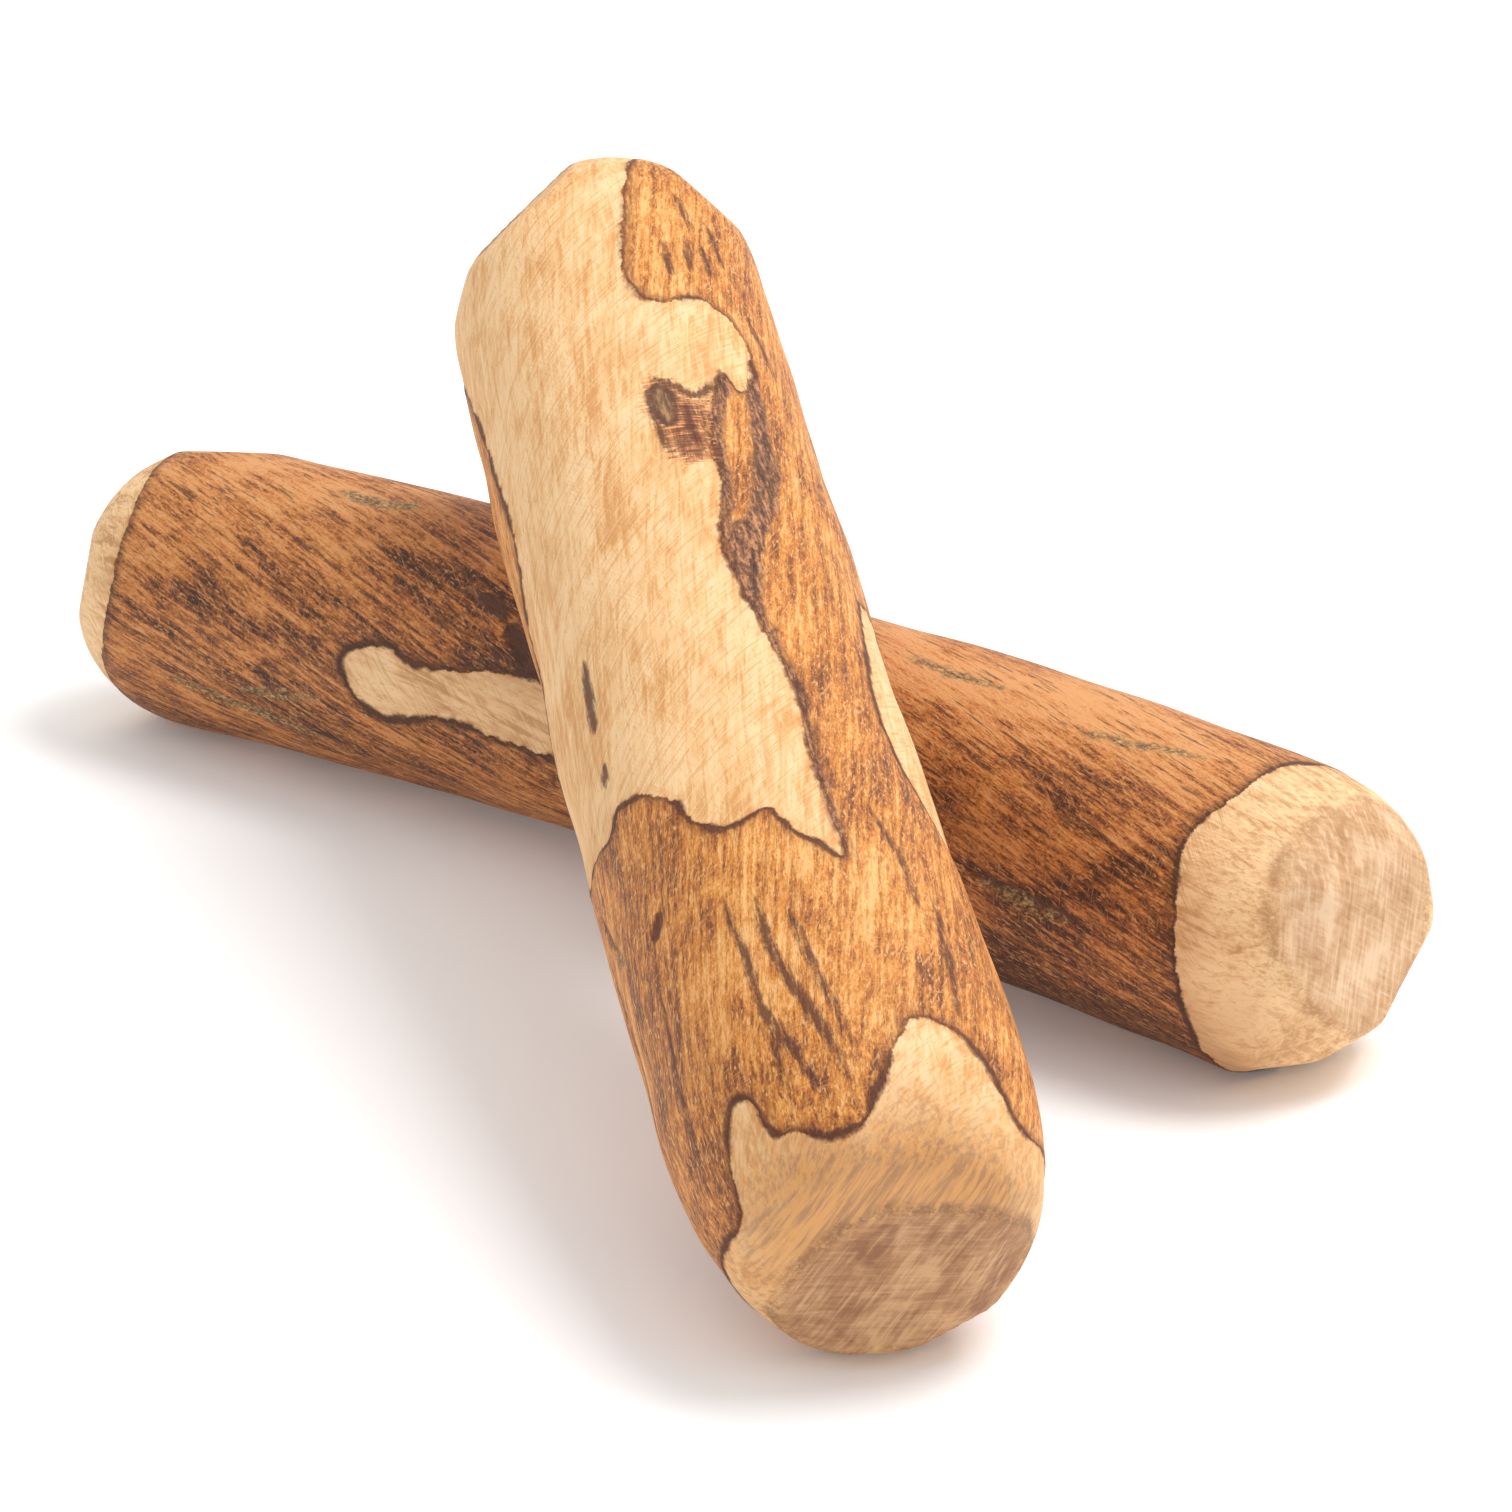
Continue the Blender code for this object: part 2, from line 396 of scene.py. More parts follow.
class Stick:
    """A clave's own axes, and its surface as a grid of stations along by segments around."""

    def __init__(self, node, points_towards):
        self.node = node
        vertices, triangles = mesh_arrays(node)
        self.find_axes(vertices, triangles, points_towards)
        self.lay_out()
        self.measure(vertices, triangles)

    def find_axes(self, vertices, triangles, points_towards):
        """The axis follows the surface's greatest spread, and up is square to it."""
        corners = vertices[triangles]
        cross = np.cross(corners[:, 1] - corners[:, 0], corners[:, 2] - corners[:, 0])
        area = np.linalg.norm(cross, axis=1)[:, None]
        middles = corners.mean(axis=1)
        centre = (middles * area).sum(axis=0) / area.sum()
        spread = middles - centre
        _, directions = np.linalg.eigh((spread * area).T @ spread)
        self.axis = directions[:, -1] * np.sign(directions[:, -1] @ np.array(points_towards))
        up = np.array((0, 0, 1)) - self.axis * self.axis[2]
        self.up = up / np.linalg.norm(up)
        self.side = np.cross(self.axis, self.up)
        reach = (vertices - centre) @ self.axis
        self.centre = centre + self.axis * (reach.min() + reach.max()) / 2
        self.half = (reach.max() - reach.min()) / 2

    def lay_out(self):
        """Stations stand along the axis, then fan out from where each dome starts towards its tip."""
        straight = self.half - DOME
        lean = np.linspace(0, math.pi / 2, round(DOME * math.pi / 2 / STEP) + 1)[1:-1]
        body = np.linspace(-straight, straight, round(2 * straight / STEP) + 1)
        ones = np.ones(len(lean))
        self.places = np.concatenate((-straight * ones, body, straight * ones))
        self.leans = np.concatenate((-lean[::-1], 0 * body, lean))
        self.along = self.places + self.leans * DOME
        self.around = np.linspace(-180, 180, SEGMENTS, endpoint=False)
        self.tip_along = straight + DOME * math.pi / 2

    def radial(self, around):
        """Unit vectors square to the axis."""
        angle = np.radians(around)[..., None]
        return np.cos(angle) * self.up + np.sin(angle) * self.side

    def measure(self, vertices, triangles):
        """Looks outward from the axis to the CAD solid, then sands its facets smooth."""
        tree = BVHTree.FromPolygons(vertices.tolist(), triangles.tolist())
        outward = self.radial(self.around)
        self.origins = self.centre + self.places[:, None] * self.axis
        self.rays = (
            np.cos(self.leans)[:, None, None] * outward[None]
            + np.sin(self.leans)[:, None, None] * self.axis
        )
        reach = np.empty(self.rays.shape[:2])
        for i, origin in enumerate(self.origins.tolist()):
            for j, ray in enumerate(self.rays[i].tolist()):
                *_, reach[i, j] = tree.ray_cast(origin, ray)
        past_shoulder = np.abs(self.along) - (self.half - DOME)
        crisp = smoothstep(past_shoulder, CRISP_FROM, CRISP_TO)[:, None]
        soft = sanded(reach, BODY_SANDING)
        self.reach = soft + (sanded(reach, END_SANDING) - soft) * crisp - INSET

    def points(self, relief=0.0):
        """The grid in millimetres in the frame's coordinates, raised by the relief."""
        return self.origins[:, None] + self.rays * (self.reach + relief)[..., None]

    def on_surface(self, places):
        """Where (along, around) places lie on the smooth surface."""
        grid = self.points()
        row = np.interp(places[:, 0], self.along, np.arange(len(self.along)))
        column = (places[:, 1] + 180) % 360 / 360 * SEGMENTS
        low_row = np.minimum(row.astype(int), len(self.along) - 2)
        low_column = column.astype(int) % SEGMENTS
        next_column = (low_column + 1) % SEGMENTS
        r = (row - low_row)[:, None]
        c = (column - np.floor(column))[:, None]
        near = grid[low_row, low_column] * (1 - c) + grid[low_row, next_column] * c
        far = grid[low_row + 1, low_column] * (1 - c) + grid[low_row + 1, next_column] * c
        return near * (1 - r) + far * r


def mesh_arrays(node):
    """A node's vertices in millimetres, and its triangles."""
    mesh = node.data
    mesh.calc_loop_triangles()
    vertices = np.empty(len(mesh.vertices) * 3)
    mesh.vertices.foreach_get("co", vertices)
    triangles = np.empty(len(mesh.loop_triangles) * 3, np.int32)
    mesh.loop_triangles.foreach_get("vertices", triangles)
    return vertices.reshape(-1, 3) / MM, triangles.reshape(-1, 3)


def sanded(grid, passes):
    """Averages each value with its neighbours. The rows carry on over the tips to the other side."""
    for _ in range(passes):
        grid = (np.roll(grid, 1, axis=1) + 2 * grid + np.roll(grid, -1, axis=1)) / 4
        before = np.vstack((np.roll(grid[0], SEGMENTS // 2)[None], grid[:-1]))
        after = np.vstack((grid[1:], np.roll(grid[-1], SEGMENTS // 2)[None]))
        grid = (before + 2 * grid + after) / 4
    return grid


# ---------------------------------------------------------------------------------------------
# Outlines and strokes turned into distances, in millimetres over the surface
# ---------------------------------------------------------------------------------------------


def curve_through(places, closed, turn=0.0):
    """A smooth curve through the places. A closed one ends where it began, plus the turn."""
    points = [Vector(place) for place in places]
    if closed:
        step = Vector((0, turn))
        points = [points[-1] - step, *points, points[0] + step, points[1] + step]
    else:
        points = [points[0] * 2 - points[1], *points, points[-1] * 2 - points[-2]]
    degree = math.radians(DOME)
    samples = []
    for a, b, c, d in zip(points, points[1:], points[2:], points[3:]):
        span = math.hypot(c.x - b.x, (c.y - b.y) * degree)
        count = max(2, math.ceil(span / CURVE_STEP))
        for t in np.arange(count) / count:
            pull = (c - a) * t + (2 * a - 5 * b + 4 * c - d) * t**2 + (3 * b - a - 3 * c + d) * t**3
            samples.append(b + pull / 2)
    samples.append(points[-2])
    return np.array(samples)


def inside(along, around, outline):
    """Which grid places lie inside an outline, by counting crossings."""
    found = np.zeros(along.shape, bool)
    low, high = outline.min(axis=0), outline.max(axis=0)
    near = (along >= low[0]) & (along <= high[0]) & (around >= low[1]) & (around <= high[1])
    x, y = along[near], around[near]
    odd = np.zeros(x.shape, bool)
    for (x0, y0), (x1, y1) in zip(outline, np.roll(outline, -1, axis=0)):
        if y0 == y1:
            continue
        crosses = ((y0 > y) != (y1 > y)) & (x < (x1 - x0) * (y - y0) / (y1 - y0) + x0)
        odd ^= crosses
    found[near] = odd
    return found


def distance_to(points, curves):
    """Distance from each point to the nearest curve, and how far through its curve that place is."""
    starts = np.vstack([curve[:-1] for curve in curves])
    ends = np.vstack([curve[1:] for curve in curves])
    shares = np.concatenate([np.linspace(0, 1, len(curve) - 1) for curve in curves])
    owners = np.concatenate([np.full(len(curve) - 1, i) for i, curve in enumerate(curves)])
    middles = (starts + ends) / 2
    tree = KDTree(len(middles))
    for i, middle in enumerate(middles.tolist()):
        tree.insert(middle, i)
    tree.balance()
    flat = points.reshape(-1, 3)
    nearest = np.array([tree.find(point)[1] for point in flat.tolist()])
    best = np.full(len(flat), np.inf)
    for step in (-1, 0, 1):
        index = np.clip(nearest + step, 0, len(middles) - 1)
        index = np.where(owners[index] == owners[nearest], index, nearest)
        run = ends[index] - starts[index]
        t = ((flat - starts[index]) * run).sum(axis=1) / np.maximum((run**2).sum(axis=1), TINY)
        foot = starts[index] + run * np.clip(t, 0, 1)[:, None]
        best = np.minimum(best, np.linalg.norm(flat - foot, axis=1))
    shape = points.shape[:-1]
    return best.reshape(shape), shares[nearest].reshape(shape), owners[nearest].reshape(shape)


def region_distance(stick, patches, ends=()):
    """Millimetres inside the nearest outline's edge, negative outside every region."""
    along = np.repeat(stick.along[:, None], SEGMENTS, axis=1)
    around = np.repeat(stick.around[None], len(stick.along), axis=0)
    if not patches and not ends:
        return np.full(along.shape, FAR_OUTSIDE)
    within = np.zeros(along.shape, bool)
    curves = []
    for patch in patches:
        outline = curve_through(patch, closed=True)
        curves.append(stick.on_surface(outline))
        for turn in (-360, 0, 360):
            within |= inside(along, around + turn, outline)
    for end in ends:
        outline = curve_through(end, closed=True, turn=360)
        curves.append(stick.on_surface(outline))
        beyond = math.copysign(stick.tip_along + BEYOND_TIP, outline[0, 0])
        turned = [outline + (0, turn) for turn in (-360, 0, 360)]
        closing = [(beyond, turned[-1][-1, 1]), (beyond, turned[0][0, 1])]
        within |= inside(along, around, np.vstack((*turned, closing)))
    distance, _, _ = distance_to(stick.points(), curves)
    return np.where(within, distance, -distance)


def stroke_distance(stick, strokes):
    """Millimetres inside the nearest stroke's edge, negative outside. Strokes taper to both ends."""
    if not strokes:
        return np.full((len(stick.along), SEGMENTS), FAR_OUTSIDE)
    curves = [stick.on_surface(curve_through(stroke.places, closed=False)) for stroke in strokes]
    distance, share, owner = distance_to(stick.points(), curves)
    widths = np.array([stroke.half_width for stroke in strokes])[owner]
    return widths * np.sqrt(np.clip(4 * share * (1 - share), 0, 1)) - distance


def tone(stick, spots):
    """The strengths of all the spots, each fading out from its middle."""
    total = np.zeros((len(stick.along), SEGMENTS))
    for spot in spots:
        far = ((stick.along - spot.along) / spot.length)[:, None]
        apart = (stick.around - spot.around + 180) % 360 - 180
        total += spot.strength * np.exp(-(far**2) - ((apart / spot.spread) ** 2)[None])
    return total


# ---------------------------------------------------------------------------------------------
# Relief and mesh
# ---------------------------------------------------------------------------------------------

# The bark stands above the carved wood, with a slope this far to each side of its edge.
BARK_STEP = 0.16
BARK_SLOPE = 0.5

# The ridge round each end face.
RIDGE_HEIGHT = 0.5
RIDGE_WIDTH = 1.5

# Cracks and holes, with the distances from a stroke's edge where they start and are full.
PIT_DEPTH = 0.35
PIT_EDGE = (-0.5, 0.6)

# The waves that a knife leaves: how many, how high, the range of their lengths, and one more than
# the most crests that one has around.
WAVES = 9
WAVE_HEIGHT = 0.035
WAVE_LENGTHS = (14, 45)
MOST_CRESTS = 6


def hand_waves(stick, seed):
    """The faint unevenness that a knife and sandpaper leave."""
    dice = np.random.default_rng(seed)
    angle = np.radians(stick.around)[None]
    along = stick.along[:, None]
    total = np.zeros((len(stick.along), SEGMENTS))
    for _ in range(WAVES):
        length = dice.uniform(*WAVE_LENGTHS)
        crests = int(dice.integers(0, MOST_CRESTS))
        phase = dice.uniform(0, 2 * math.pi)
        total += np.sin(2 * math.pi * along / length + crests * angle + phase)
    return WAVE_HEIGHT * total * np.cos(stick.leans)[:, None]


def build_mesh(stick, name, relief, layers):
    """One closed mesh: the grid, and one vertex at each tip. Each layer is an attribute, and so are
    the coordinates along the stick's own axes, which the wood's grain follows."""
    grid = stick.points(relief)
    rows = len(stick.along)
    tips = [
        stick.origins[0] - stick.axis * (stick.reach + relief)[0].mean(),
        stick.origins[-1] + stick.axis * (stick.reach + relief)[-1].mean(),
    ]
    vertices = np.vstack((grid.reshape(-1, 3), tips)) * MM
    # The relief stays inside the CAD node's box.
    low, high = (np.array(corner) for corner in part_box(stick.node.name))
    vertices = np.clip(vertices, low, high)
    index = np.arange(rows * SEGMENTS).reshape(rows, SEGMENTS)
    after = np.roll(index, -1, axis=1)
    quads = np.stack((index[:-1], index[1:], after[1:], after[:-1]), axis=-1).reshape(-1, 4)
    first_tip = rows * SEGMENTS
    start_fan = [(first_tip, a, b) for a, b in zip(index[0].tolist(), after[0].tolist())]
    end_fan = [(first_tip + 1, b, a) for a, b in zip(index[-1].tolist(), after[-1].tolist())]
    mesh = bpy.data.meshes.new(name)
    mesh.from_pydata(vertices.tolist(), [], quads.tolist() + start_fan + end_fan)
    mesh.shade_smooth()
    for label, layer in layers.items():
        values = np.concatenate((layer.reshape(-1), (layer[0].mean(), layer[-1].mean())))
        attribute = mesh.attributes.new(label, "FLOAT", "POINT")
        attribute.data.foreach_set("value", values.astype(np.float32))
    own = vertices / MM - stick.centre
    grain = np.stack((own @ stick.axis, own @ stick.side, own @ stick.up), axis=1)
    attribute = mesh.attributes.new("grain", "FLOAT_VECTOR", "POINT")
    attribute.data.foreach_set("vector", grain.astype(np.float32).reshape(-1))
    return mesh


def make_clave(name, node_name, body, pattern, points_towards, seed, material):
    """One clave in place of its CAD node. Its layers hold distances into regions and strokes, and
    the last two hold strengths."""
    stick = Stick(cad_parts[node_name], points_towards)
    layers = {
        "bark": -region_distance(stick, pattern.pale_patches, pattern.pale_ends),
        "band": region_distance(stick, pattern.dark_bands),
        "stain": region_distance(stick, pattern.stains),
        "eye": region_distance(stick, pattern.eyes),
        "mark": stroke_distance(stick, pattern.marks),
        "lichen": stroke_distance(stick, pattern.lichens),
        "face": region_distance(stick, [], pattern.faces),
        # Tone strengths: the wood's own tone, and on the lower clave also painted light and painted
        # shade.
        "tone": tone(stick, pattern.tones_and_painted_light),
        "faint": tone(stick, pattern.faint_lines),
    }
    pits = smoothstep(stroke_distance(stick, pattern.pits), *PIT_EDGE)
    relief = hand_waves(stick, seed)
    relief += BARK_STEP * (smoothstep(layers["bark"], -BARK_SLOPE, BARK_SLOPE) - 1)
    relief += RIDGE_HEIGHT * np.exp(-np.abs(layers["face"]) / RIDGE_WIDTH)
    relief -= PIT_DEPTH * pits
    mesh = build_mesh(stick, name, relief, layers)
    mesh.materials.append(material)
    clave = bpy.data.objects.new(name, mesh)
    bpy.context.scene.collection.objects.link(clave)
    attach(clave, body)
    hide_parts(node_name)


# ---------------------------------------------------------------------------------------------
# Materials. The grain and the layers are in millimetres, so noise scales are per millimetre, and
# where a layer fades is in millimetres from an edge
# ---------------------------------------------------------------------------------------------

STAIN_STOPS = [(0.43, paint(92, 48, 34)), (0.5, paint(156, 88, 54)), (0.58, paint(222, 156, 96))]
BAND_STOPS = [(0.43, paint(68, 42, 32)), (0.5, paint(116, 74, 52)), (0.6, paint(192, 134, 90))]
LICHEN_STOPS = [(0.4, paint(66, 50, 38)), (0.52, paint(136, 108, 72)), (0.62, paint(200, 164, 104))]
KNOT_RING = paint(82, 52, 40)
KNOT_DARK = paint(104, 74, 50)
KNOT_LIGHT = paint(176, 132, 88)

# The angle in degrees between the two ways that an end face is scratched, and how far the bark's
# fibres turn about the axis, as a share of how far its scratches do.
FACE_CROSSING = 65.0
FIBRE_TURN = 0.35

CARVED_ROUGHNESS = 0.52
BARK_ROUGHNESS = 0.42
WOOD_SPECULAR = 0.28
BUMP_STRENGTH = 0.8
BUMP_DISTANCE = 0.00025

FLOOR_COLOUR = (0.96, 0.965, 0.97, 1)
FLOOR_ROUGHNESS = 0.9
FLOOR_SPECULAR = 0.1
FLOOR_GLOW = 0.08
WHITE = (1, 1, 1, 1)

# A mix node's first input, second input and result, for colours and for plain numbers.
MIX_COLOURS = (6, 7, 2)
MIX_NUMBERS = (2, 3, 0)


class Graph:
    """Short names for the shader nodes that the wood is made of."""

    def __init__(self, name):
        self.material = bpy.data.materials.new(name)
        self.material.use_nodes = True
        self.tree = self.material.node_tree
        self.shader = self.tree.nodes["Principled BSDF"]

    def node(self, kind, **settings):
        made = self.tree.nodes.new(kind)
        for key, value in settings.items():
            setattr(made, key, value)
        return made

    def feed(self, socket, value):
        if isinstance(value, bpy.types.NodeSocket):
            self.tree.links.new(value, socket)
        else:
            socket.default_value = value

    def number(self, label):
        return self.node("ShaderNodeAttribute", attribute_name=label).outputs["Fac"]

    def vector(self, label):
        return self.node("ShaderNodeAttribute", attribute_name=label).outputs["Vector"]

    def math(self, operation, a, b=0.0):
        made = self.node("ShaderNodeMath", operation=operation)
        self.feed(made.inputs[0], a)
        self.feed(made.inputs[1], b)
        return made.outputs[0]

    def add(self, *values):
        total = values[0]
        for value in values[1:]:
            total = self.math("ADD", total, value)
        return total

    def times(self, *values):
        total = values[0]
        for value in values[1:]:
            total = self.math("MULTIPLY", total, value)
        return total

    def sway(self, noise, width):
        """The noise as a distance to either side of zero."""
        return self.times(self.add(noise, -0.5), width)

    def off(self, value, place):
        """How far a value is from a place."""
        return self.math("ABSOLUTE", self.add(value, -place))

    def stretch(self, vector, x, y, z):
        """Scaled coordinates: a small x draws a noise out along the grain."""
        made = self.node("ShaderNodeVectorMath", operation="MULTIPLY")
        self.feed(made.inputs[0], vector)
        made.inputs[1].default_value = (x, y, z)
        return made.outputs[0]

    def twist(self, vector, per_mm):
        """Turns the coordinates about the axis as they go along it, so that lines run askew."""
        split = self.node("ShaderNodeSeparateXYZ")
        self.feed(split.inputs[0], vector)
        made = self.node("ShaderNodeVectorRotate", rotation_type="X_AXIS")
        self.feed(made.inputs["Vector"], vector)
        self.feed(made.inputs["Angle"], self.times(split.outputs[0], per_mm))
        return made.outputs[0]

    def turn(self, vector, degrees):
        """Turns the coordinates about the axis, the same all the way along."""
        made = self.node("ShaderNodeVectorRotate", rotation_type="X_AXIS")
        self.feed(made.inputs["Vector"], vector)
        made.inputs["Angle"].default_value = math.radians(degrees)
        return made.outputs[0]

    def noise(self, vector, scale, detail=2.0, roughness=0.5, distortion=0.0):
        made = self.node("ShaderNodeTexNoise")
        self.feed(made.inputs["Vector"], vector)
        made.inputs["Scale"].default_value = scale
        made.inputs["Detail"].default_value = detail
        made.inputs["Roughness"].default_value = roughness
        made.inputs["Distortion"].default_value = distortion
        return made.outputs["Fac"]

    def fade(self, value, low, high, start=0.0, end=1.0):
        """Start below low, end above high, and smooth between."""
        made = self.node("ShaderNodeMapRange", interpolation_type="SMOOTHSTEP")
        self.feed(made.inputs["Value"], value)
        made.inputs["From Min"].default_value = low
        made.inputs["From Max"].default_value = high
        made.inputs["To Min"].default_value = start
        made.inputs["To Max"].default_value = end
        return made.outputs[0]

    def between(self, data_type, sockets, share, a, b):
        """A mix node of either type."""
        first, second, result = sockets
        made = self.node("ShaderNodeMix", data_type=data_type)
        self.feed(made.inputs[0], share)
        self.feed(made.inputs[first], a)
        self.feed(made.inputs[second], b)
        return made.outputs[result]

    def mix(self, share, a, b):
        """A colour that goes from a to b."""
        return self.between("RGBA", MIX_COLOURS, share, a, b)

    def blend(self, share, a, b):
        """A plain number that goes from a to b."""
        return self.between("FLOAT", MIX_NUMBERS, share, a, b)

    def ramp(self, value, stops):
        """The colour for a number, from stops of (place, colour)."""
        made = self.node("ShaderNodeValToRGB")
        self.feed(made.inputs[0], value)
        elements = made.color_ramp.elements
        while len(elements) < len(stops):
            elements.new(0.5)
        for element, (place, colour) in zip(elements, stops):
            element.position = place
            element.color = colour
        return made.outputs[0]


@dataclass
class Noises:
    """Random patterns that several layers share, from broad to fine."""

    drift: object
    wander: object
    strands: object
    fray: object


def shared_noises(g, grain):
    return Noises(
        drift=g.noise(grain, 0.22, detail=3.0, roughness=0.6),
        wander=g.noise(grain, 0.5, detail=2.0),
        strands=g.noise(g.stretch(grain, 0.15, 1.0, 1.0), 1.6, detail=3.0, roughness=0.7),
        fray=g.noise(g.stretch(grain, 0.6, 1.0, 1.0), 2.2, detail=3.0, roughness=0.7),
    )


def scratches(g, grain, twist, scale):
    """Fine sanding lines that run askew to the grain."""
    turned = g.stretch(g.twist(grain, twist), 0.14, 1.0, 1.0)
    return g.noise(turned, scale, detail=2.0, roughness=0.6)


def face_scratches(g, grain, degrees, scale):
    """Straight sanding lines across an end face."""
    turned = g.turn(grain, degrees)
    return g.noise(g.stretch(turned, 0.5, 0.09, 1.0), scale, detail=2.0, roughness=0.6)


def pale_wood(g, grain, palette):
    """Sapwood where the knife went through the bark: cloudy, with faint figure and sanding lines.
    Near the tips the lines run across the end. Darker where the tone is negative: stain, and on the
    lower clave's right half painted shade low on the front."""
    cloud = g.noise(g.stretch(grain, 0.7, 1.0, 1.0), 0.09, detail=3.0, roughness=0.55, distortion=0.8)
    along_grain = g.stretch(g.twist(grain, 0.008), 0.1, 1.0, 1.0)
    figure = g.noise(along_grain, 0.9, detail=5.0, roughness=0.65, distortion=1.2)
    value = g.add(g.times(cloud, 0.4), g.times(figure, 0.6))
    colour = g.ramp(
        value,
        [(0.4, palette.pale_dark), (0.485, palette.pale_mid), (0.56, palette.pale_light)],
    )
    tip = g.fade(g.number("face"), -13.0, -4.0)
    down_body = scratches(g, grain, 0.055, 2.0)
    over_chamfer = face_scratches(g, grain, palette.chamfer_lines, 1.8)
    one_way = g.blend(tip, down_body, over_chamfer)
    other_way = scratches(g, grain, -0.03, 2.4)
    colour = g.mix(g.fade(one_way, 0.52, 0.7, 0, 0.6), colour, palette.pale_light)
    colour = g.mix(g.fade(one_way, 0.49, 0.32, 0, 0.6), colour, palette.pale_dark)
    colour = g.mix(g.fade(other_way, 0.58, 0.75, 0, 0.3), colour, palette.pale_light)
    pores = g.noise(g.stretch(grain, 0.25, 1.0, 1.0), 3.0, detail=2.0)
    colour = g.mix(g.fade(pores, 0.58, 0.72, 0, 0.5), colour, palette.pale_dark)
    # Negative tone darkens the sapwood towards this colour: stain, and painted shade on the lower
    # clave's low right side.
    stain_and_painted_shade = g.mix(g.fade(one_way, 0.36, 0.6), palette.face_mid, palette.pale_dark)
    colour = g.mix(g.fade(g.number("tone"), 0.0, -1.1, 0, 0.9), colour, stain_and_painted_shade)
    height = g.add(g.times(one_way, 0.6), g.times(other_way, 0.4), g.times(pores, -0.3))
    return colour, height


def end_face(g, grain, palette):
    """End grain: scratched both ways."""
    blotch = g.noise(grain, 0.16, detail=3.0, roughness=0.6, distortion=0.5)
    down = face_scratches(g, grain, palette.face_lines, 1.7)
    across = face_scratches(g, grain, palette.face_lines + FACE_CROSSING, 2.2)
    value = g.add(g.times(blotch, 0.5), g.times(down, 0.3), g.times(across, 0.2))
    colour = g.ramp(
        value,
        [(0.38, palette.face_dark), (0.49, palette.face_mid), (0.6, palette.face_light)],
    )
    colour = g.mix(g.fade(down, 0.54, 0.7, 0, 0.6), colour, palette.face_light)
    colour = g.mix(g.fade(across, 0.6, 0.74, 0, 0.4), colour, palette.face_light)
    height = g.add(g.times(down, 0.7), g.times(across, 0.5))
    return colour, height


def carved_wood(g, grain, palette, noises):
    """Sapwood, and end faces with a broken darker rim and a fainter one inside it."""
    pale, pale_height = pale_wood(g, grain, palette)
    face, face_height = end_face(g, grain, palette)
    on_face = g.add(g.number("face"), g.sway(noises.drift, 3.5))
    is_face = g.fade(on_face, -2.6, 2.0, 0, 0.95)
    colour = g.mix(is_face, pale, face)
    outer_rim = g.fade(g.off(on_face, -0.4), 0.1, 1.6, 1, 0)
    inner_rim = g.fade(g.off(on_face, 4.0), 0.2, 1.8, 0.3, 0)
    mottle = g.fade(g.add(g.times(noises.fray, 0.5), g.times(noises.drift, 0.5)), 0.42, 0.58)
    rim = g.times(g.add(outer_rim, inner_rim), mottle, 0.6)
    return g.mix(rim, colour, palette.rim), g.blend(is_face, pale_height, face_height)


def bark_skin(g, grain, palette):
    """Inner bark: long fibres and short dashes, with cracks, and paler flecks and scratches."""
    broad = g.noise(g.stretch(grain, 0.5, 1.0, 1.0), 0.13, detail=4.0, roughness=0.6, distortion=0.8)
    askew = g.twist(grain, palette.twist * FIBRE_TURN)
    fibres = g.noise(g.stretch(askew, 0.05, 1.0, 1.0), 1.2, detail=5.0, roughness=0.65)
    dashes = g.noise(g.stretch(askew, 0.25, 1.0, 1.0), 2.2, detail=3.0, roughness=0.65)
    specks = g.noise(g.stretch(grain, 0.5, 1.0, 1.0), 4.0, detail=2.0, roughness=0.6)
    value = g.add(
        g.times(broad, 0.27),
        g.times(fibres, 0.37),
        g.times(dashes, 0.22),
        g.times(specks, 0.14),
        # Tone lightens and darkens the bark: the wood's own tone, and on the lower clave painted light
        # on top and painted shade low on the right half.
        g.times(g.number("tone"), 0.06),
    )
    colour = g.ramp(
        value,
        [
            (0.42, palette.bark_dark),
            (0.475, palette.bark_mid),
            (0.52, palette.bark_glow),
            (0.59, palette.bark_light),
        ],
    )
    lines = scratches(g, grain, palette.twist, 2.2)
    flecks = g.noise(g.stretch(askew, 0.3, 1.0, 1.0), 3.0, detail=1.0)
    weave = g.noise(g.stretch(grain, 3.0, 0.35, 0.35), 1.6, detail=2.0)
    colour = g.mix(g.fade(lines, 0.56, 0.72, 0, 0.45), colour, palette.bark_light)
    colour = g.mix(g.fade(flecks, 0.58, 0.7, 0, 0.65), colour, palette.bark_light)
    colour = g.mix(g.fade(weave, 0.58, 0.72, 0, 0.4), colour, palette.bark_light)
    cracks = g.noise(g.stretch(askew, 0.09, 1.0, 1.0), 1.6, detail=3.0, roughness=0.7)
    colour = g.mix(g.fade(cracks, 0.45, 0.33, 0, palette.cracks), colour, palette.bark_dark)
    height = g.add(
        g.times(fibres, 0.7),
        g.times(dashes, 0.6),
        g.times(lines, 0.4),
        g.times(specks, 0.3),
        g.times(weave, 0.25),
        g.fade(cracks, 0.42, 0.32, 0, -0.3),
    )
    return colour, height


